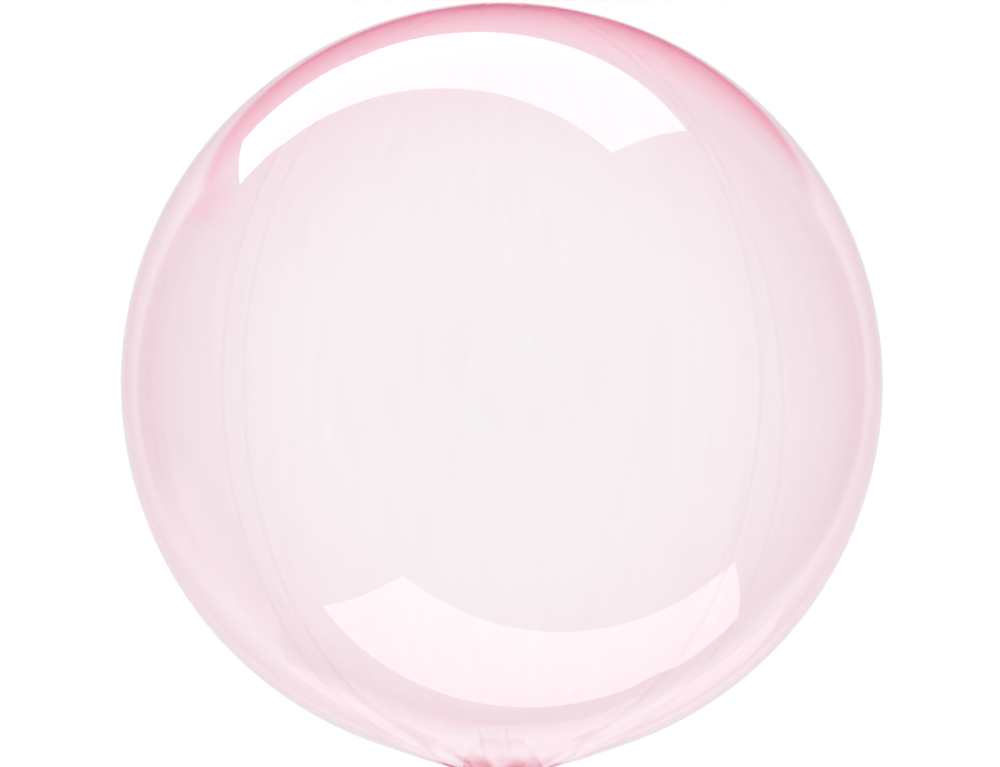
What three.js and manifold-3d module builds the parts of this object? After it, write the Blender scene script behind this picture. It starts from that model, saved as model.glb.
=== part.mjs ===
// Clear bubble balloon: a ball of four film gores, heat-welded along four meridian seams, whose ends
// run on as a flat inflation tail. The ball is full of gas and sealed, so it is one closed solid.
//
// Units are millimetres and +Z is up. The balloon lies on its side: its long axis, from the tail to
// the crown, points along +Y, and one gore faces straight up. The origin is on the surface that it
// lies on, under the middle of its length and width.

import * as THREE from 'three';
import { mergeVertices } from 'three/addons/utils/BufferGeometryUtils.js';
import Module from 'manifold-3d';

// Driving dimensions.
const ballDiameter = 508;
const flatSpotDepth = 2.2;      // the underside flattens this much where it bears

const goreCount = 4;
const seamValley = 1.5;         // the welds stretch less than the film, so they sit in a soft valley
const seamValleyReach = 15;     // from the weld to where the valley has mostly gone
const weldWidth = 3;
const weldHeight = 1;
const seamTwist = 5;            // degrees that the right-hand upper seam leans, from crown to tail

const shoulderReach = 84;       // distance from the ball's long axis where the gathers begin
const shoulderLift = 11;        // the gathered film is drawn out into a low cone at the tail
const coneSharpness = 1.9;      // 1 is a straight cone, and more keeps the ball round for longer
const neckReach = 55;           // inside this distance the gathered film is as wide as the tail
const gatherCount = 13;
const gatherDepth = 1.5;
const gatherEnd = 24;           // distance from the long axis where the folds are deepest

const tailLength = 84;
const tailRootWidth = 58;
const tailEndWidth = 42;
const tailThickness = 2;
const tailDroop = 14;           // the free end hangs lower than the root by this much

// How finely the skin is cut up.
const columnsPerGore = 16;
const ballRings = 32;
const shoulderRings = 12;
const tailRings = 7;

const filmTint = 0xf6e9ee;

const ballRadius = ballDiameter / 2;
const poleRadius = tailThickness / 2;

// The ball's middle, placed so that the whole length is centred on the origin.
const overallLength = ballDiameter + shoulderLift + tailLength;
const ballCentre = new THREE.Vector3(
  0,
  overallLength / 2 - ballRadius,
  ballRadius - flatSpotDepth,
);

const smooth = (edge0, edge1, value) => THREE.MathUtils.smoothstep(value, edge0, edge1);

// Angles run around the long axis, from the top (+Z) towards +X.
function seamAngle(seam, axialShare) {
  const upright = ((seam + 0.5) * 2 * Math.PI) / goreCount;
  const leans = seam === 0 ? THREE.MathUtils.degToRad(seamTwist) : 0;
  return upright - leans * axialShare;
}

// Half the angle that a weld takes up, where the skin is this far from the long axis.
function weldHalfAngle(reach) {
  const widest = Math.PI / goreCount / 4;
  return Math.min(widest, weldWidth / 2 / Math.max(reach, 1));
}

// The angles of one ring of columns. Each seam has a column at both feet and both shoulders of its
// weld, and the film between two seams is cut up evenly.
function columnAngles(reach, axialShare) {
  const angles = [];
  const half = weldHalfAngle(reach);
  for (let seam = 0; seam < goreCount; seam += 1) {
    const here = seamAngle(seam, axialShare);
    const next = seam + 1 < goreCount
      ? seamAngle(seam + 1, axialShare)
      : seamAngle(0, axialShare) + 2 * Math.PI;
    angles.push({ angle: here - half, weld: 0 });
    angles.push({ angle: here - half / 2, weld: 1 });
    angles.push({ angle: here + half / 2, weld: 1 });
    angles.push({ angle: here + half, weld: 0 });
    const filmStart = here + half;
    const filmEnd = next - half;
    for (let i = 1; i < columnsPerGore; i += 1) {
      angles.push({ angle: filmStart + ((filmEnd - filmStart) * i) / columnsPerGore, weld: 0 });
    }
  }
  return angles;
}

function angleToNearestSeam(angle, axialShare) {
  let nearest = Math.PI;
  for (let seam = 0; seam < goreCount; seam += 1) {
    const apart = angle - seamAngle(seam, axialShare);
    const wrapped = Math.atan2(Math.sin(apart), Math.cos(apart));
    nearest = Math.min(nearest, Math.abs(wrapped));
  }
  return nearest;
}

// How far the skin stands in from, or out of, a true ball: valleys along the seams, with the welds
// as low ridges in them. Both fade out at the crown, where the four seams meet.
function ballRelief(angle, weld, reach, axialShare) {
  const away = reach * angleToNearestSeam(angle, axialShare);
  const valley = seamValley * Math.exp(-((away / seamValleyReach) ** 2));
  const ridge = weld * weldHeight;
  const fade = smooth(0, 40, reach);
  return (ridge - valley) * fade;
}

// The folds grow from the start of the shoulder, and the flat tail presses them out again.
function gatherFold(reach) {
  const grown = 1 - smooth(gatherEnd, shoulderReach, reach);
  const pressed = 1 - smooth(poleRadius, gatherEnd, reach);
  return gatherDepth * grown * (1 - pressed);
}

// Sections of the skin, from the crown to the end of the tail. Each has its place along Y from the
// ball's middle, its half width and half height, how far it is flattened (0 is round, 1 is flat),
// the depth of its gathered folds and how far it hangs down.
function skinSections() {
  const sections = [];
  const shoulderAngle = Math.PI - Math.asin(shoulderReach / ballRadius);
  for (let i = 1; i <= ballRings; i += 1) {
    const polar = (shoulderAngle * i) / ballRings;
    const reach = ballRadius * Math.sin(polar);
    const along = ballRadius * Math.cos(polar);
    sections.push({ along, reach, halfWidth: reach, halfHeight: reach, flat: 0, fold: 0, drop: 0 });
  }
  for (let i = 1; i <= shoulderRings; i += 1) {
    const share = i / shoulderRings;
    const reach = THREE.MathUtils.lerp(shoulderReach, poleRadius, share);
    const onBall = -Math.sqrt(ballRadius ** 2 - reach ** 2);
    const lift = shoulderLift * share ** coneSharpness;
    const rootHalf = tailRootWidth / 2;
    const halfWidth = rootHalf + Math.max(reach - rootHalf, 0) * smooth(0, neckReach, reach);
    sections.push({
      along: onBall - lift,
      reach,
      halfWidth,
      halfHeight: reach,
      flat: smooth(0, 0.9, share),
      fold: gatherFold(reach),
      drop: 0,
    });
  }
  for (let i = 1; i <= tailRings; i += 1) {
    const share = i / tailRings;
    const width = THREE.MathUtils.lerp(tailRootWidth, tailEndWidth, smooth(0, 0.7, share));
    sections.push({
      along: -ballRadius - shoulderLift - tailLength * share,
      reach: poleRadius,
      halfWidth: width / 2,
      halfHeight: poleRadius,
      flat: 1,
      fold: 0,
      drop: tailDroop * share ** 2,
    });
  }
  return sections;
}

// In the tail only the upper and lower gores are wide: the side gores narrow to its two edges.
function tailAngle(angle, flat) {
  const quarter = Math.PI / 2;
  const turns = Math.round(angle / Math.PI);
  const fromFace = angle - turns * Math.PI;
  const halfGore = Math.PI / goreCount;
  const sideShare = 0.1;
  const edgeStart = quarter - halfGore * sideShare;
  const magnitude = Math.abs(fromFace);
  const moved = magnitude <= halfGore
    ? (magnitude / halfGore) * edgeStart
    : edgeStart + ((magnitude - halfGore) / (quarter - halfGore)) * (quarter - edgeStart);
  const flatAngle = turns * Math.PI + Math.sign(fromFace) * moved;
  return THREE.MathUtils.lerp(angle, flatAngle, flat);
}

function skinPoint(section, column, axialShare) {
  const { along, reach, halfWidth, halfHeight, flat, fold, drop } = section;
  const relief = ballRelief(column.angle, column.weld, reach, axialShare);
  const gather = fold * Math.cos(gatherCount * column.angle);
  const angle = tailAngle(column.angle, flat);
  const onBall = 1 - flat;
  const shrink = 1 + (relief * onBall) / ballRadius;
  const across = Math.sin(angle) * halfWidth * shrink;
  const up = Math.cos(angle) * halfHeight * shrink;
  return new THREE.Vector3(across, along * shrink - gather, up - drop).add(ballCentre);
}

function envelopeGeometry() {
  const sections = skinSections();
  const crown = new THREE.Vector3(0, ballRadius, 0).add(ballCentre);
  const points = [crown];
  const rings = [];
  for (const section of sections) {
    const axialShare = THREE.MathUtils.clamp(section.along / ballRadius, -1, 1);
    const ring = [];
    for (const column of columnAngles(section.reach, axialShare)) {
      ring.push(points.length);
      points.push(skinPoint(section, column, axialShare));
    }
    rings.push(ring);
  }
  const indices = [];
  const count = rings[0].length;
  for (let i = 0; i < count; i += 1) {
    indices.push(0, rings[0][i], rings[0][(i + 1) % count]);
  }
  for (let r = 0; r + 1 < rings.length; r += 1) {
    for (let i = 0; i < count; i += 1) {
      const a = rings[r][i];
      const b = rings[r][(i + 1) % count];
      const c = rings[r + 1][(i + 1) % count];
      const d = rings[r + 1][i];
      indices.push(a, d, c, a, c, b);
    }
  }
  const last = rings[rings.length - 1];
  const endCentre = new THREE.Vector3();
  for (const index of last) endCentre.add(points[index]);
  endCentre.divideScalar(count);
  const end = points.push(endCentre) - 1;
  for (let i = 0; i < count; i += 1) {
    indices.push(end, last[(i + 1) % count], last[i]);
  }
  const geometry = new THREE.BufferGeometry().setFromPoints(points);
  geometry.setIndex(indices);
  return geometry;
}

const wasm = await Module();
wasm.setup();

function toSolid(geometry) {
  const bare = geometry.clone();
  bare.deleteAttribute('normal');
  bare.deleteAttribute('uv');
  const merged = mergeVertices(bare, 1e-4);
  const mesh = new wasm.Mesh({
    numProp: 3,
    vertProperties: new Float32Array(merged.attributes.position.array),
    triVerts: new Uint32Array(merged.index.array),
  });
  return new wasm.Manifold(mesh);
}

function toGeometry(solid) {
  const mesh = solid.getMesh();
  const geometry = new THREE.BufferGeometry();
  geometry.setAttribute('position', new THREE.BufferAttribute(mesh.vertProperties, 3));
  geometry.setIndex(new THREE.BufferAttribute(mesh.triVerts, 1));
  geometry.computeVertexNormals();
  return geometry;
}

// The bearing surface cuts the small flat spot that stops the ball rolling.
function flattenUnderside(solid) {
  const slab = new THREE.BoxGeometry(ballDiameter, ballDiameter, 100);
  slab.translate(0, 0, -50);
  return solid.subtract(toSolid(slab));
}

const filmMaterial = new THREE.MeshStandardMaterial({
  name: 'clear_film',
  color: filmTint,
  roughness: 0.08,
  metalness: 0,
  transparent: true,
  opacity: 0.35,
});

const envelope = new THREE.Mesh(
  toGeometry(flattenUnderside(toSolid(envelopeGeometry()))),
  filmMaterial,
);
envelope.name = 'bubble_envelope';

const balloon = new THREE.Group();
balloon.name = 'bubble_balloon';
balloon.add(envelope);

export default balloon;
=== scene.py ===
"""Looks of the clear bubble balloon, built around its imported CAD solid.

The balloon is a ball of thin clear film, faintly pink, that lies on its side on a pale floor. Its
tail points along -Y and its crown along +Y. Lengths are in metres and +Z is up.
"""
import bpy
import math
import numpy as np
from mathutils import Matrix, Vector


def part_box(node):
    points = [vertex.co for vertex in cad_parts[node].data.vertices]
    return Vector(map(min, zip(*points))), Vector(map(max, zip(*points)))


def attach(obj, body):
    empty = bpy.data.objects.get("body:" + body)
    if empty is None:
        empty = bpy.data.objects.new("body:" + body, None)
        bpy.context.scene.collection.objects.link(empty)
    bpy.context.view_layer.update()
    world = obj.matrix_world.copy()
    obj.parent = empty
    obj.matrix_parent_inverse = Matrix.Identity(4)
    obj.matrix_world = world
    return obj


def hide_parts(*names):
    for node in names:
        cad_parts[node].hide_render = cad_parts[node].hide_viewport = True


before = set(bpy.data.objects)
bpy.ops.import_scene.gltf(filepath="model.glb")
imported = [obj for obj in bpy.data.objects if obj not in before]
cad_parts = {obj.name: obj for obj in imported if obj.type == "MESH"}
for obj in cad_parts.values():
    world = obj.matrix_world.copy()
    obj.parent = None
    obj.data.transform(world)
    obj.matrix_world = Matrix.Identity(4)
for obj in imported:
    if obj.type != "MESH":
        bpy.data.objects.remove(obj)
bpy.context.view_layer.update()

MM = 0.001
NODE = "bubble_envelope"
low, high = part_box(NODE)

# Sizes that the CAD solid gives.
RADIUS = (high.x - low.x) / 2
CENTRE = Vector((0.0, high.y - RADIUS, high.z - RADIUS))
TAIL_REACH = (high.y - low.y) - 2 * RADIUS

# Sizes of the make-up, the same as in the solid.
GORES = 4
SEAM_TWIST = math.radians(5)
SHOULDER_REACH = 84 * MM
SHOULDER_LIFT = 11 * MM
CONE_SHARPNESS = 1.9
NECK_REACH = 55 * MM
GATHER_COUNT = 13
FINE_GATHER_COUNT = 21
GATHER_DEPTH = 1.5 * MM
GATHER_END = 24 * MM
TAIL_LENGTH = TAIL_REACH - SHOULDER_LIFT
TAIL_ROOT_WIDTH = 58 * MM
TAIL_END_WIDTH = 42 * MM
TAIL_THICKNESS = 2 * MM
TAIL_TAPER_SHARE = 0.7      # of the tail's length, over which it narrows
TAIL_DROOP = 14 * MM
TAIL_FLAT_SHARE = 0.9       # of the shoulder, from which its sections are flat
TAIL_EDGE_SHARE = 0.1       # of half a side gore, left on the face beside each edge of the tail
POLE_REACH = TAIL_THICKNESS / 2

# Finer sizes that only the looks have. Blown up tight, the film hardly dips along its welds, which
# the solid marks more plainly, and the dip only deepens towards the tail.
FILM_THICKNESS = 0.2 * MM
SEAM_VALLEY = 0.05 * MM
SEAM_VALLEY_AT_TAIL = 1.0 * MM
SEAM_VALLEY_REACH = 10 * MM
SEAM_VALLEY_DEEPENS = (0.74, 0.97)      # from and to, in radii from the middle towards the tail
RELIEF_FADE = 40 * MM       # unevenness and valleys fade out this near the long axis
PLEAT_COUNT = 16
PLEAT_DEPTH = 1.1 * MM
FOLDS_AT_EDGES = 0.3        # share of the neck's folds that runs on into the tail's edges
WELD_WIDTH = 3.5 * MM
WELD_WIDTH_AT_TAIL = 6 * MM
WELD_WIDENS = (0.4, 0.85)   # from and to, in radii from the middle towards the tail
WELD_HEIGHT = 0.3 * MM
WELD_LIFT = 0.05 * MM
WELD_START = 4 * MM         # distance from the long axis at the crown
WELD_END = 46 * MM          # the same at the neck
WELD_TIP = (41 * MM, 61 * MM)       # the same where the width would reach nothing, and where it is full
TAIL_WELD_WIDTH = 4 * MM
TAIL_WELD_ANGLE = math.radians(35)      # from the top of the skin, which the tail spreads out flat
SLEEVE_WIDTH = 20 * MM
SLEEVE_TAPER = 0.12         # share of its width that it loses towards the tail's free end
SLEEVE_LEAN = -6 * MM
SLEEVE_CURL = 3 * MM
SLEEVE_HEIGHT = 0.3 * MM
SLEEVE_START = 12 * MM      # from the tail's free end
SLEEVE_INSIDE = 22 * MM     # how far it stands into the ball
FLOOR_GAP = 0.4 * MM

COLUMNS = 240
BALL_RINGS = 130
SHOULDER_RINGS = 42
TAIL_RINGS = 24
SLEEVE_STATIONS = 70


def smooth(edge0, edge1, value):
    share = np.clip((value - edge0) / (edge1 - edge0), 0, 1)
    return share * share * (3 - 2 * share)


def lerp(a, b, share):
    return a + (b - a) * share


# ---------------------------------------------------------------- the skin's form

def seam_angle(seam, axial):
    """Angle of a seam round the long axis, from the top towards +X."""
    upright = (seam + 0.5) * 2 * math.pi / GORES
    return upright - (SEAM_TWIST * axial if seam == 0 else 0.0)


def nearest_seam(angle, axial):
    away = np.full(np.broadcast(angle, axial).shape, math.pi)
    for seam in range(GORES):
        apart = angle - seam_angle(seam, axial)
        away = np.minimum(away, np.abs(np.arctan2(np.sin(apart), np.cos(apart))))
    return away


def skin_sections():
    """Sections from crown to tail end: along, reach, half width, flatness, fold and drop."""
    rows = []
    shoulder = math.pi - math.asin(SHOULDER_REACH / RADIUS)
    for i in range(1, BALL_RINGS + 1):
        polar = shoulder * i / BALL_RINGS
        reach = RADIUS * math.sin(polar)
        rows.append((RADIUS * math.cos(polar), reach, reach, 0.0, 0.0, 0.0))
    root_half = TAIL_ROOT_WIDTH / 2
    for i in range(1, SHOULDER_RINGS + 1):
        share = i / SHOULDER_RINGS
        reach = lerp(SHOULDER_REACH, POLE_REACH, share)
        lift = SHOULDER_LIFT * share ** CONE_SHARPNESS
        along = -math.sqrt(RADIUS ** 2 - reach ** 2) - lift
        half_width = root_half + max(reach - root_half, 0) * smooth(0, NECK_REACH, reach)
        fold = (1 - smooth(GATHER_END, SHOULDER_REACH, reach)) * smooth(POLE_REACH, GATHER_END, reach)
        rows.append((along, reach, half_width, smooth(0, TAIL_FLAT_SHARE, share), fold, 0.0))
    for i in range(1, TAIL_RINGS + 1):
        share = i / TAIL_RINGS
        width = lerp(TAIL_ROOT_WIDTH, TAIL_END_WIDTH, smooth(0, TAIL_TAPER_SHARE, share))
        along = -RADIUS - SHOULDER_LIFT - TAIL_LENGTH * share
        rows.append((along, POLE_REACH, width / 2, 1.0, 0.0, TAIL_DROOP * share ** 2))
    return np.array([[float(v) for v in row] for row in rows])


def tail_angle(angle, flat):
    """In the tail the upper and lower gores spread out and the side gores narrow to its edges."""
    quarter = math.pi / 2
    half_gore = math.pi / GORES
    edge = quarter - half_gore * TAIL_EDGE_SHARE
    turns = np.round(angle / math.pi)
    from_face = angle - turns * math.pi
    size = np.abs(from_face)
    face = size / half_gore * edge
    side = edge + (size - half_gore) / (quarter - half_gore) * (quarter - edge)
    moved = np.where(size <= half_gore, face, side)
    return lerp(angle, turns * math.pi + np.sign(from_face) * moved, flat)


def ripples(angle, along):
    """Slow unevenness of stretched film: a few low waves that never repeat exactly."""
    polar = along / RADIUS
    waves = (
        0.16 * np.sin(2 * angle + 1.3) * np.cos(2.1 * polar + 0.4)
        + 0.10 * np.sin(3 * angle - 0.7 + 2.3 * polar)
        + 0.05 * np.sin(5 * angle + 2.1 - 3.7 * polar)
        + 0.02 * np.cos(9 * angle + 5.9 * polar)
    )
    return waves * MM


def skin_points(rows, angle, lift=0.0):
    """Points of the skin for each section (rows) and angle, lifted off the skin by lift."""
    along, reach, half_width, flat, fold, drop = (rows[:, k:k + 1] for k in range(6))
    axial = np.clip(along / RADIUS, -1, 1)
    away = reach * nearest_seam(angle, axial)
    fade = smooth(0, RELIEF_FADE, reach)
    depth = lerp(SEAM_VALLEY, SEAM_VALLEY_AT_TAIL, smooth(*SEAM_VALLEY_DEEPENS, -axial))
    valley = depth * np.exp(-(away / SEAM_VALLEY_REACH) ** 2)
    relief = (ripples(angle, along) - valley) * fade + lift
    shrink = 1 + relief * (1 - flat) / RADIUS
    fold = fold * lerp(FOLDS_AT_EDGES, 1, np.cos(angle) ** 2)
    gather = GATHER_DEPTH * fold * (
        0.75 * np.cos(GATHER_COUNT * angle) + 0.45 * np.cos(FINE_GATHER_COUNT * angle + 1.1)
    )
    pleat = PLEAT_DEPTH * fold * np.cos(PLEAT_COUNT * angle + 0.6)
    turned = tail_angle(angle, flat)
    x = np.sin(turned) * ((half_width + lift * flat) * shrink + pleat)
    y = along * shrink - gather
    z = np.cos(turned) * ((reach + lift * flat) * shrink + pleat) - drop
    points = np.stack([x, y + 0 * x, z], axis=-1) + np.array(CENTRE)
    points[..., 2] = np.maximum(points[..., 2], lift)
    return points


# ---------------------------------------------------------------- mesh helpers

def make_object(name, vertices, faces):
    mesh = bpy.data.meshes.new(name)
    mesh.from_pydata([tuple(map(float, v)) for v in vertices], [], faces)
    mesh.validate()
    mesh.update()
    obj = bpy.data.objects.new(name, mesh)
    bpy.context.scene.collection.objects.link(obj)
    mesh.polygons.foreach_set("use_smooth", [True] * len(mesh.polygons))
    return obj


def add_attribute(obj, name, values):
    """Give each point of a mesh a number or a vector that its material reads."""
    values = np.asarray(values, dtype=float)
    kind = "FLOAT_VECTOR" if values.ndim == 2 else "FLOAT"
    layer = obj.data.attributes.new(name, kind, "POINT")
    layer.data.foreach_set("vector" if values.ndim == 2 else "value", values.ravel())


def lathe_faces(ring_count, columns, start, flip):
    """Faces of a closed skin: a pole point, the rings, and an end point."""
    pole = start
    first = start + 1
    end = first + ring_count * columns
    faces = []
    for i in range(columns):
        faces.append((pole, first + i, first + (i + 1) % columns))
    for r in range(ring_count - 1):
        here = first + r * columns
        there = here + columns
        for i in range(columns):
            j = (i + 1) % columns
            faces.append((here + i, there + i, there + j, here + j))
    last = first + (ring_count - 1) * columns
    for i in range(columns):
        faces.append((end, last + (i + 1) % columns, last + i))
    if flip:
        faces = [face[::-1] for face in faces]
    return faces


def skin_mesh(rows, angle):
    """Outer and inner face of the film, parallel to each other, as one closed thin shell. Its points
    carry what the film's material reads: the distance from the nearest seam (seam_gap), along the
    skin from the crown (run) and from the long axis (reach), and all round it as a place (lay)."""
    outer = skin_points(rows, angle)
    ring_count, columns, _ = outer.shape
    crown = np.array(CENTRE) + np.array((0, RADIUS, 0))
    end = outer[-1].mean(axis=0)
    vertices = np.concatenate([crown[None], outer.reshape(-1, 3), end[None]])
    faces = lathe_faces(ring_count, columns, 0, flip=False)
    wall = make_object("bubble_film", vertices, faces)
    normals = np.zeros(len(vertices) * 3)
    wall.data.vertices.foreach_get("normal", normals)
    bpy.data.objects.remove(wall)
    inner = vertices - normals.reshape(-1, 3) * FILM_THICKNESS
    inner_faces = lathe_faces(ring_count, columns, len(vertices), flip=True)
    skin = make_object("bubble_film", np.concatenate([vertices, inner]), faces + inner_faces)

    along, reach = rows[:, 0:1], rows[:, 1:2]
    axial = np.clip(along / RADIUS, -1, 1)
    run = np.arccos(axial) * RADIUS + np.maximum(-RADIUS - along, 0)

    def both_walls(grid, crown_value, end_value):
        grid = np.broadcast_to(grid, (ring_count, columns)).ravel()
        one_wall = np.concatenate([[crown_value], grid, [end_value]])
        return np.concatenate([one_wall, one_wall])

    from_crown = both_walls(run, 0, run[-1, 0])
    across = both_walls(np.sin(angle), 0, 0)
    upward = both_walls(np.cos(angle), 0, 0)
    add_attribute(skin, "seam_gap", both_walls(reach * nearest_seam(angle, axial), 0, 0))
    add_attribute(skin, "run", from_crown)
    add_attribute(skin, "reach", both_walls(reach, 0, 0))
    add_attribute(skin, "lay", np.stack([across, from_crown, upward], axis=1))
    return skin


def ribbon(name, centre_line, across, out, half_widths, height, section_steps=12):
    """A thin strip with rounded edges that follows centre_line, standing height out from it. Its
    points carry the distance along it (run) and their place across it, from -1 to 1 (side)."""
    turns = 2 * math.pi * np.arange(section_steps) / section_steps
    sides = np.sign(np.cos(turns)) * np.sqrt(np.abs(np.cos(turns)))
    heights = height / 2 * (1 + np.sin(turns))
    vertices = (
        centre_line[:, None, :]
        + across[:, None, :] * (half_widths[:, None] * sides)[..., None]
        + out[:, None, :] * heights[None, :, None]
    )
    faces = []
    rings = len(centre_line)
    for r in range(rings - 1):
        for k in range(section_steps):
            a = r * section_steps + k
            b = r * section_steps + (k + 1) % section_steps
            faces.append((a, b, b + section_steps, a + section_steps))
    faces.append(tuple(range(section_steps))[::-1])
    faces.append(tuple((rings - 1) * section_steps + k for k in range(section_steps)))
    strip = make_object(name, vertices.reshape(-1, 3), faces)
    steps = np.linalg.norm(np.diff(centre_line, axis=0), axis=1)
    run = np.repeat(np.concatenate([[0], np.cumsum(steps)]), section_steps)
    side = np.tile(sides, rings)
    add_attribute(strip, "run", run)
    add_attribute(strip, "side", side)
    return strip


# ---------------------------------------------------------------- node helpers

class Nodes:
    """Short ways to make and link the maths nodes of one node tree."""

    def __init__(self, tree):
        self.tree = tree

    def make(self, kind, **settings):
        node = self.tree.nodes.new(kind)
        for name, value in settings.items():
            setattr(node, name, value)
        return node

    def feed(self, socket, value):
        if isinstance(value, bpy.types.NodeSocket):
            self.tree.links.new(value, socket)
        else:
            socket.default_value = value

    def maths(self, operation, first, second=0.0, third=0.0):
        node = self.make("ShaderNodeMath", operation=operation)
        for socket, value in zip(node.inputs, (first, second, third)):
            self.feed(socket, value)
        return node.outputs[0]

    def product(self, *values):
        result = values[0]
        for value in values[1:]:
            result = self.maths("MULTIPLY", result, value)
        return result

    def dot(self, vector, along):
        node = self.make("ShaderNodeVectorMath", operation="DOT_PRODUCT")
        self.feed(node.inputs[0], vector)
        node.inputs[1].default_value = along
        return node.outputs["Value"]

    def stretch(self, vector, factors):
        node = self.make("ShaderNodeVectorMath", operation="MULTIPLY")
        self.feed(node.inputs[0], vector)
        node.inputs[1].default_value = factors
        return node.outputs["Vector"]

    def ease(self, value, start, end):
        """0 at start, 1 at end, eased between them. start may be the larger."""
        node = self.make("ShaderNodeMapRange", interpolation_type="SMOOTHSTEP")
        self.feed(node.inputs["Value"], value)
        node.inputs["From Min"].default_value = min(start, end)
        node.inputs["From Max"].default_value = max(start, end)
        node.inputs["To Min"].default_value = float(start > end)
        node.inputs["To Max"].default_value = float(start < end)
        return node.outputs["Result"]

    def blend(self, share, first, second):
        node = self.make("ShaderNodeMix", data_type="RGBA")
        self.feed(node.inputs["Factor"], share)
        self.feed(node.inputs[6], first)
        self.feed(node.inputs[7], second)
        return node.outputs[2]

    def noise(self, vector, scale, detail=2.0):
        node = self.make("ShaderNodeTexNoise")
        self.feed(node.inputs["Vector"], vector)
        node.inputs["Scale"].default_value = scale
        node.inputs["Detail"].default_value = detail
        return node.outputs["Fac"]

    def attribute(self, name, output="Fac"):
        node = self.make("ShaderNodeAttribute", attribute_name=name)
        return node.outputs[output]

    def emboss(self, shader, height, distance):
        """Bump both the body of a shader and its coat."""
        node = self.make("ShaderNodeBump")
        node.inputs["Strength"].default_value = 1.0
        node.inputs["Distance"].default_value = distance
        self.feed(node.inputs["Height"], height)
        for name in ("Normal", "Coat Normal"):
            self.feed(shader.inputs[name], node.outputs["Normal"])


# ---------------------------------------------------------------- materials

PINK_DYE = (0.90, 0.10, 0.42, 1)
CLEAR = (1, 1, 1, 1)
CLOUDY_FILM = (0.992, 0.984, 0.988, 1)
BUNCHED_FILM = (0.90, 0.58, 0.64, 1)
CLOUDY_WELD = (0.99, 0.98, 0.985, 1)
SLEEVE_EDGE = (0.94, 0.90, 0.91, 1)

PUCKER_PITCH = 11 * MM
PUCKER_GAP = (16 * MM, 1 * MM)      # distance from a seam where puckers begin, and where they are full
PUCKER_WANDER = 14.0                # how far their phase wanders, in radians
CREASE_REACH = (75 * MM, 10 * MM)   # the same for the creases, from the long axis
NECK_RUN = (752 * MM, 800 * MM)     # the run from the crown where bunching begins, and is full
SPREAD_RUN = (838 * MM, 812 * MM)   # the run where it has spread out again, and is still full
CRIMP_PITCH = 1.6 * MM
SLEEVE_SEAL = (0.72, 0.86)          # place across the sleeve where its sealed edge begins and is full


def new_material(name):
    material = bpy.data.materials.new(name)
    material.use_nodes = True
    return material, Nodes(material.node_tree), material.node_tree.nodes["Principled BSDF"]


def clear_plastic(name, density, coat_weight, coat_roughness):
    """See-through film. The film is so thin that it bends nothing that is seen through it, so its
    body has no refraction of its own: the coat gives the gloss, and the dye in it gives the tint,
    which deepens by itself where the film is seen edge-on."""
    material, nodes, shader = new_material(name)
    shader.inputs["Base Color"].default_value = CLEAR
    shader.inputs["Transmission Weight"].default_value = 1
    shader.inputs["Roughness"].default_value = 0.0
    shader.inputs["IOR"].default_value = 1.0
    shader.inputs["Coat Weight"].default_value = coat_weight
    shader.inputs["Coat IOR"].default_value = 1.45
    shader.inputs["Coat Roughness"].default_value = coat_roughness
    absorption = nodes.make("ShaderNodeVolumeAbsorption")
    absorption.inputs["Color"].default_value = PINK_DYE
    absorption.inputs["Density"].default_value = density
    output = material.node_tree.nodes["Material Output"]
    nodes.feed(output.inputs["Volume"], absorption.outputs["Volume"])
    return material, nodes, shader


def clear_film_material():
    """The film: stretched smooth, with faint drawing lines from crown to tail, small puckers beside
    the welds and finer gathers round the tail and the crown. At the neck it is bunched up in many
    layers, which makes it a deeper pink."""
    material, nodes, shader = clear_plastic("clear_pink_film", 190.0, 1.0, 0.0)
    place = nodes.make("ShaderNodeTexCoord").outputs["Object"]
    lay = nodes.attribute("lay", "Vector")
    run = nodes.attribute("run")

    drawn = nodes.noise(nodes.stretch(lay, (9, 5, 9)), 3.0, 1.0)
    cloudy = nodes.noise(place, 7.0, 0.0)
    uneven = nodes.maths("ADD", nodes.product(drawn, 0.6), nodes.product(cloudy, 0.4))
    stretched = nodes.blend(nodes.ease(uneven, 0.3, 0.7), CLOUDY_FILM, CLEAR)
    at_neck = nodes.product(nodes.ease(run, *NECK_RUN), nodes.ease(run, *SPREAD_RUN))
    layers = nodes.ease(nodes.noise(nodes.stretch(lay, (5, 1, 5)), 1.0, 1.0), 0.38, 0.62)
    bunched = nodes.product(at_neck, nodes.maths("MULTIPLY_ADD", layers, 0.65, 0.35))
    nodes.feed(shader.inputs["Base Color"], nodes.blend(bunched, stretched, BUNCHED_FILM))

    wander = nodes.product(nodes.noise(place, 25.0, 0.0), PUCKER_WANDER)
    phase = nodes.maths("MULTIPLY_ADD", run, 2 * math.pi / PUCKER_PITCH, wander)
    near_weld = nodes.ease(nodes.attribute("seam_gap"), *PUCKER_GAP)
    pucker = nodes.product(nodes.maths("SINE", phase), near_weld, nodes.noise(place, 9.0, 0.0))
    swell = nodes.product(nodes.noise(place, 5.0, 0.0), 1.4)
    near_pole = nodes.ease(nodes.attribute("reach"), *CREASE_REACH)
    creases = nodes.product(nodes.noise(nodes.stretch(lay, (10, 12, 10)), 2.0, 2.0), near_pole)
    height = nodes.maths("ADD", nodes.product(pucker, 0.05), swell)
    height = nodes.maths("ADD", height, nodes.product(creases, 2.0))
    nodes.emboss(shader, height, 0.35 * MM)
    return material


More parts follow.
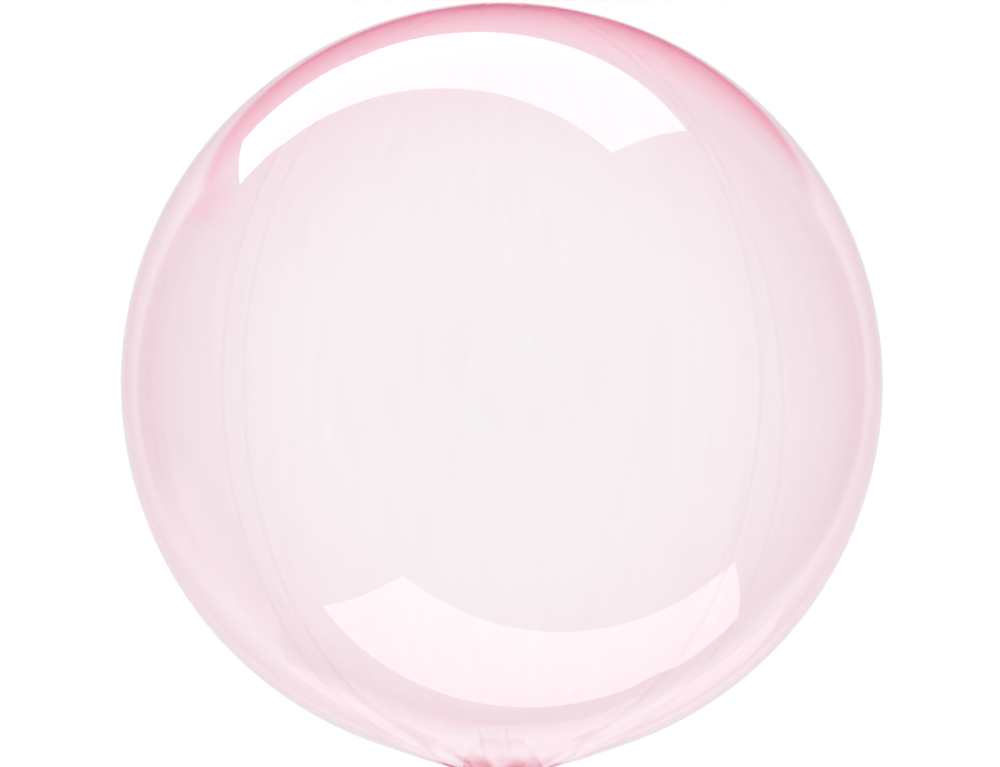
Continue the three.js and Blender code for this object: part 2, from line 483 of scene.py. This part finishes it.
def weld_material():
    """The weld: doubled film, pressed by a fine crimp across the strip and a little cloudy."""
    material, nodes, shader = clear_plastic("doubled_film_weld", 50.0, 0.1, 0.03)
    place = nodes.make("ShaderNodeTexCoord").outputs["Object"]
    run = nodes.attribute("run")
    crimp = nodes.maths("SINE", nodes.product(run, 2 * math.pi / CRIMP_PITCH))
    worn = nodes.noise(place, 60.0)
    tone = nodes.blend(nodes.ease(worn, 0.35, 0.7), CLOUDY_WELD, CLEAR)
    nodes.feed(shader.inputs["Base Color"], tone)
    nodes.emboss(shader, nodes.product(crimp, worn), 0.02 * MM)
    return material


def sleeve_material():
    """The valve sleeve: two soft plies, clearer in the channel and cloudy along both sealed edges."""
    material, nodes, shader = clear_plastic("valve_sleeve_film", 25.0, 0.12, 0.05)
    place = nodes.make("ShaderNodeTexCoord").outputs["Object"]
    side = nodes.maths("ABSOLUTE", nodes.attribute("side"))
    limp = nodes.noise(nodes.stretch(place, (1, 0.4, 1)), 90.0, 3.0)
    sealed = nodes.product(nodes.ease(side, *SLEEVE_SEAL), nodes.ease(limp, 0.2, 0.8))
    nodes.feed(shader.inputs["Base Color"], nodes.blend(sealed, CLEAR, SLEEVE_EDGE))
    nodes.emboss(shader, limp, 0.4 * MM)
    return material


# ---------------------------------------------------------------- pieces

def dress(piece, material):
    piece.data.materials.append(material)
    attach(piece, "root")


rows = skin_sections()
angles = (np.arange(COLUMNS) + 0.5) * 2 * math.pi / COLUMNS
film = skin_mesh(rows, angles[None, :])
dress(film, clear_film_material())
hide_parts(NODE)


def unit(vectors):
    return vectors / np.linalg.norm(vectors, axis=1)[:, None]


def strip_on_skin(name, sections, angle, lift, half_widths, material):
    """A strip of doubled film that follows one angle along the skin, its foot at this lift."""
    angle = angle + np.zeros((len(sections), 1))
    middle = skin_points(sections, angle, lift)[:, 0]
    beside = skin_points(sections, angle + 1e-3, lift)[:, 0]
    above = skin_points(sections, angle, lift + WELD_HEIGHT)[:, 0]
    along = unit(np.gradient(middle, axis=0))
    out = unit(np.cross(along, beside - middle))
    out *= np.sign((out * (above - middle)).sum(axis=1))[:, None]
    strip = ribbon(name, middle, np.cross(out, along), out, half_widths, WELD_HEIGHT)
    dress(strip, material)


def seam_welds(material):
    """The welds between the gores lie against the inside of the film, from the crown to the neck."""
    along, reach, flat = rows[:, 0], rows[:, 1], rows[:, 3]
    in_ball = (flat == 0) & (reach > WELD_START)
    in_shoulder = (along < 0) & (reach > WELD_END)
    kept = rows[in_ball | in_shoulder]
    along, reach = kept[:, 0], kept[:, 1]
    widening = smooth(*WELD_WIDENS, -along / RADIUS)
    ending = np.where(along < 0, smooth(*WELD_TIP, reach), 1)
    half_widths = lerp(WELD_WIDTH, WELD_WIDTH_AT_TAIL, widening) / 2 * ending
    for seam in range(GORES):
        angle = seam_angle(seam, np.clip(along[:, None] / RADIUS, -1, 1))
        lift = -(FILM_THICKNESS + WELD_LIFT + WELD_HEIGHT)
        strip_on_skin(f"seam_weld_{seam + 1}", kept, angle, lift, half_widths, material)


def tail_welds(material):
    """The two plies of the tail are welded together along both of its sides."""
    kept = rows[rows[:, 3] == 1][-TAIL_RINGS:]
    half_widths = np.full(len(kept), TAIL_WELD_WIDTH / 2)
    for number, side in enumerate((-1, 1), start=1):
        angle = side * TAIL_WELD_ANGLE
        strip_on_skin(f"tail_weld_{number}", kept, angle, WELD_LIFT, half_widths, material)


doubled_film = weld_material()
seam_welds(doubled_film)
tail_welds(doubled_film)


def valve_sleeve():
    """The flat sleeve that shuts by itself: from near the tail's free end to just inside the ball."""
    tail_end = -RADIUS - TAIL_REACH
    along = np.linspace(tail_end + SLEEVE_START, -RADIUS + SLEEVE_INSIDE, SLEEVE_STATIONS)
    in_tail = np.clip((-RADIUS - SHOULDER_LIFT - along) / TAIL_LENGTH, 0, 1)
    inside = np.clip((along + RADIUS + SHOULDER_LIFT) / (SLEEVE_INSIDE + SHOULDER_LIFT), 0, 1)
    curl = SLEEVE_CURL * np.sin(1.6 * math.pi * inside) * inside
    z = -TAIL_DROOP * in_tail ** 2 + SLEEVE_HEIGHT / 2 + curl
    line = np.stack([SLEEVE_LEAN * inside, along, z], axis=1) + np.array(CENTRE)
    direction = unit(np.gradient(line, axis=0))
    out = unit(np.cross(direction, (1.0, 0.0, 0.0)))
    across = np.cross(out, direction)
    half_widths = SLEEVE_WIDTH / 2 * (1 - SLEEVE_TAPER * (1 - inside))
    strip = ribbon("valve_sleeve", line, across, out, half_widths, SLEEVE_HEIGHT, section_steps=20)
    dress(strip, sleeve_material())


valve_sleeve()

# ---------------------------------------------------------------- floor

FLOOR_SIZE = 12.0


def pale_floor():
    """A matt pale floor just under the balloon. It takes the soft shadow, and the film neither
    mirrors it nor shows it, since the even white of the room stands in for it there."""
    half = FLOOR_SIZE / 2
    corners = [(x * half, y * half, -FLOOR_GAP) for x, y in ((-1, -1), (1, -1), (1, 1), (-1, 1))]
    floor = make_object("floor", corners, [(0, 1, 2, 3)])
    material, _, shader = new_material("pale_floor")
    shader.inputs["Base Color"].default_value = (0.86, 0.86, 0.86, 1)
    shader.inputs["Roughness"].default_value = 0.9
    shader.inputs["Specular IOR Level"].default_value = 0.0
    floor.data.materials.append(material)
    floor.visible_glossy = False
    floor.visible_transmission = False


pale_floor()

# ---------------------------------------------------------------- light

FAR_WALL_DEPTH = 3.5      # light mirrored in the far wall has passed through more film faces than this
WHITE_SEEN = (1.03, 1.03, 1.03, 1)      # the white room, as seen through the film
WHITE_LIGHT = (1.33, 1.33, 1.33, 1)     # the white room, as it lights the floor
MIRRORED_LEVELS = (       # elevation in degrees, and what the film mirrors there
    (-60, (0.72, 0.55, 0.60)),
    (-38, (0.66, 0.48, 0.53)),
    (-22, (0.53, 0.30, 0.36)),
    (-3, (0.40, 0.21, 0.26)),
    (10, (0.42, 0.27, 0.31)),
    (30, (0.45, 0.38, 0.39)),
    (90, (0.32, 0.34, 0.31)),
)
CARD_SHIFT = 0.5      # the far wall, lower down, sees the low cards this much further towards +Y
PINK_WALL = (0.66, 0.26, 0.34, 1)
PINK_CARD = (0.88, 0.22, 0.36, 1)
CORNER_CARD = (0.76, 0.08, 0.25, 1)
SIDE_CARD = (0.88, 0.74, 0.78, 1)
WHITE_CARD_EDGE = (0.92, 0.95, 0.92, 1)
WHITE_CARD_MIDDLE = (1.03, 1.12, 1.09, 1)

# Where the cards' centres lie across, and how much their edges slant.
PINK_CARD_CENTRE = -0.08
WHITE_CARD_CENTRE = 0.1
WHITE_CARD_SLANT = 0.22
CORNER_CARD_SLANT = 0.62
WHITE_CARD_FADE_SLANT = 0.15
SIDE_CARD_SLANT = 0.49

# Where each card begins and where it is full, for each measure that bounds it. The measures are of
# the unit vector that points at the card, and mirrored_room works them out.
PINK_WALL_EDGES = {"along": (0.35, 0.8), "upward": (0.3, -0.15)}
PINK_CARD_EDGES = {"upward": (-0.54, -0.70), "off_middle": (0.64, 0.44), "card_along": (0.1, 0.3)}
CORNER_CARD_EDGES = {
    "off_corner": (0.111, 0.022), "upward": (-0.2, -0.55), "across": (-0.3, -0.5),
    "along": (0.22, 0.32),
}
SIDE_CARD_EDGES = {
    "past_seam": (-0.385, -0.345), "along": (-0.16, -0.30), "across": (-0.08, -0.2),
    "upward": (-0.3, -0.55),
}
WHITE_CARD_EDGES = {
    "off_axis": (0.66, 0.58), "past_rim": (0.27, 0.20), "along": (-0.85, -0.66),
    "upward": (-0.55, -0.72),
}
WHITE_CARD_FADE = {"slanted_down": (-0.90, -0.98)}      # from its edge's colour to its middle's


def room_by_elevation(nodes, upward):
    """The dim pink room without its cards, coloured by the height at which one looks."""
    ramp = nodes.make("ShaderNodeValToRGB")
    nodes.feed(ramp.inputs["Fac"], nodes.maths("MULTIPLY_ADD", upward, 0.5, 0.5))
    elements = ramp.color_ramp.elements
    elements.remove(elements[0])
    for number, (elevation, colour) in enumerate(MIRRORED_LEVELS):
        place = (math.sin(math.radians(elevation)) + 1) / 2
        element = elements[0] if number == 0 else elements.new(place)
        element.position = place
        element.color = (*colour, 1)
    return ramp.outputs["Color"]


def mirrored_room(nodes, towards, near_wall):
    """What the film mirrors: a dim pink room with a pinker wall behind the crown, a pink card low
    against that wall with a deeper one in its left corner, a pale card low beside the tail, and a
    white card under the balloon, which shows as the pale rim. near_wall is 1 for reflections in the
    near wall and 0 in the far wall."""
    across, along, upward = (nodes.dot(towards, axis) for axis in ((1, 0, 0), (0, 1, 0), (0, 0, 1)))
    shift = nodes.maths("MULTIPLY_ADD", near_wall, CARD_SHIFT, -CARD_SHIFT)
    card_along = nodes.maths("ADD", along, shift)

    def slanted(distance, slant, start):
        return nodes.maths("MULTIPLY_ADD", distance, slant, start)

    def off(distance, centre=0.0):
        return nodes.maths("ABSOLUTE", nodes.maths("SUBTRACT", distance, centre))

    measures = {
        "across": across,
        "along": along,
        "upward": upward,
        "card_along": card_along,
        "off_axis": off(across),
        "off_middle": off(across, PINK_CARD_CENTRE),
        "off_corner": off(slanted(across, CORNER_CARD_SLANT, along)),
        "past_seam": slanted(across, -SIDE_CARD_SLANT, along),
        "past_rim": slanted(off(across, WHITE_CARD_CENTRE), -WHITE_CARD_SLANT, card_along),
        "slanted_down": slanted(card_along, WHITE_CARD_FADE_SLANT, upward),
    }

    def share(edges, *further):
        eased = (nodes.ease(measures[name], *ends) for name, ends in edges.items())
        return nodes.product(*eased, *further)

    room = nodes.blend(share(PINK_WALL_EDGES), room_by_elevation(nodes, upward), PINK_WALL)
    room = nodes.blend(share(PINK_CARD_EDGES), room, PINK_CARD)
    room = nodes.blend(share(CORNER_CARD_EDGES, near_wall), room, CORNER_CARD)
    room = nodes.blend(share(SIDE_CARD_EDGES, near_wall), room, SIDE_CARD)
    white_card = nodes.blend(share(WHITE_CARD_FADE), WHITE_CARD_EDGE, WHITE_CARD_MIDDLE)
    return nodes.blend(share(WHITE_CARD_EDGES), room, white_card)


def studio_world():
    """An even white room for all that is seen and lit, and the mirrored room for reflections only.
    Two backgrounds are mixed, so that the mirrored room is worked out only where it shows, and an
    even room needs no sampling of its own."""
    world = bpy.data.worlds.new("studio")
    world.use_nodes = True
    world.cycles.sampling_method = "NONE"
    nodes = Nodes(world.node_tree)
    path = nodes.make("ShaderNodeLightPath")
    near_wall = nodes.maths("LESS_THAN", path.outputs["Transmission Depth"], FAR_WALL_DEPTH)
    mirrored = nodes.maths("GREATER_THAN", path.outputs["Glossy Depth"], 0.5)
    scattered = nodes.maths("GREATER_THAN", path.outputs["Diffuse Depth"], 0.5)
    towards = nodes.make("ShaderNodeTexCoord").outputs["Generated"]
    white = world.node_tree.nodes["Background"]
    nodes.feed(white.inputs["Color"], nodes.blend(scattered, WHITE_SEEN, WHITE_LIGHT))
    reflections = nodes.make("ShaderNodeBackground")
    nodes.feed(reflections.inputs["Color"], mirrored_room(nodes, towards, near_wall))
    choice = nodes.make("ShaderNodeMixShader")
    for socket, value in zip(choice.inputs, (mirrored, white.outputs[0], reflections.outputs[0])):
        nodes.feed(socket, value)
    nodes.feed(world.node_tree.nodes["World Output"].inputs["Surface"], choice.outputs[0])
    return world


bpy.context.scene.world = studio_world()


def wall_panel(name, place, tilt, size, radiance, colour, far_wall):
    """An upright light panel that faces -Y, with its long side tilted up towards +X. It shows only
    in reflections, and only in those of the balloon's near wall or only in those of its far wall:
    a reflection in the far wall has passed through the near wall first."""
    light = bpy.data.lights.new(name, "AREA")
    light.shape = "RECTANGLE"
    light.size, light.size_y = size
    light.energy = radiance * math.pi * size[0] * size[1]
    light.color = colour
    light.use_nodes = True
    nodes = Nodes(light.node_tree)
    path = nodes.make("ShaderNodeLightPath")
    mirrored = nodes.maths("GREATER_THAN", path.outputs["Glossy Depth"], 0.5)
    side = "GREATER_THAN" if far_wall else "LESS_THAN"
    passed = nodes.maths(side, path.outputs["Transmission Depth"], FAR_WALL_DEPTH)
    emission = light.node_tree.nodes["Emission"]
    nodes.feed(emission.inputs["Strength"], nodes.product(mirrored, passed))
    panel = bpy.data.objects.new(name, light)
    bpy.context.scene.collection.objects.link(panel)
    c, s = math.cos(math.radians(tilt)), math.sin(math.radians(tilt))
    panel.matrix_world = Matrix((
        (c, s, 0, place[0]),
        (0, 0, 1, place[1]),
        (s, -c, 0, place[2]),
        (0, 0, 0, 1),
    ))
    panel.visible_camera = False
    panel.visible_diffuse = False


# A long panel behind the crown gives the bright bow on the crown's side, and, upside down in the
# far wall, the fainter bow above the tail.
wall_panel(
    "panel_near", place=(-0.30, 1.07, -0.14), tilt=26.6, size=(2.06, 0.59), radiance=1.9,
    colour=(0.93, 1.0, 0.96), far_wall=False,
)
wall_panel(
    "panel_far", place=(-0.27, 1.16, -0.28), tilt=24.3, size=(2.21, 0.79), radiance=1.65,
    colour=(0.86, 1.0, 0.96), far_wall=True,
)

# ---------------------------------------------------------------- camera

CAMERA_HEIGHT = 4.5         # above the ball's centre
CAMERA_OFFSET = -1.3 * MM   # along X, from the ball's centre
SENSOR_WIDTH = 36
BALL_SHARE = 0.762          # of the frame's width, spanned by the ball


def add_camera():
    """The camera looks straight down on the lying balloon, with its tail at the frame's foot."""
    data = bpy.data.cameras.new("camera")
    camera = bpy.data.objects.new("camera", data)
    bpy.context.scene.collection.objects.link(camera)
    view_width = 2 * RADIUS / BALL_SHARE
    data.sensor_width = SENSOR_WIDTH
    data.lens = SENSOR_WIDTH * CAMERA_HEIGHT / view_width
    data.clip_end = 100
    camera.location = CENTRE + Vector((CAMERA_OFFSET, 0.0, CAMERA_HEIGHT))
    bpy.context.scene.camera = camera


add_camera()
bpy.context.scene.view_settings.view_transform = "Standard"
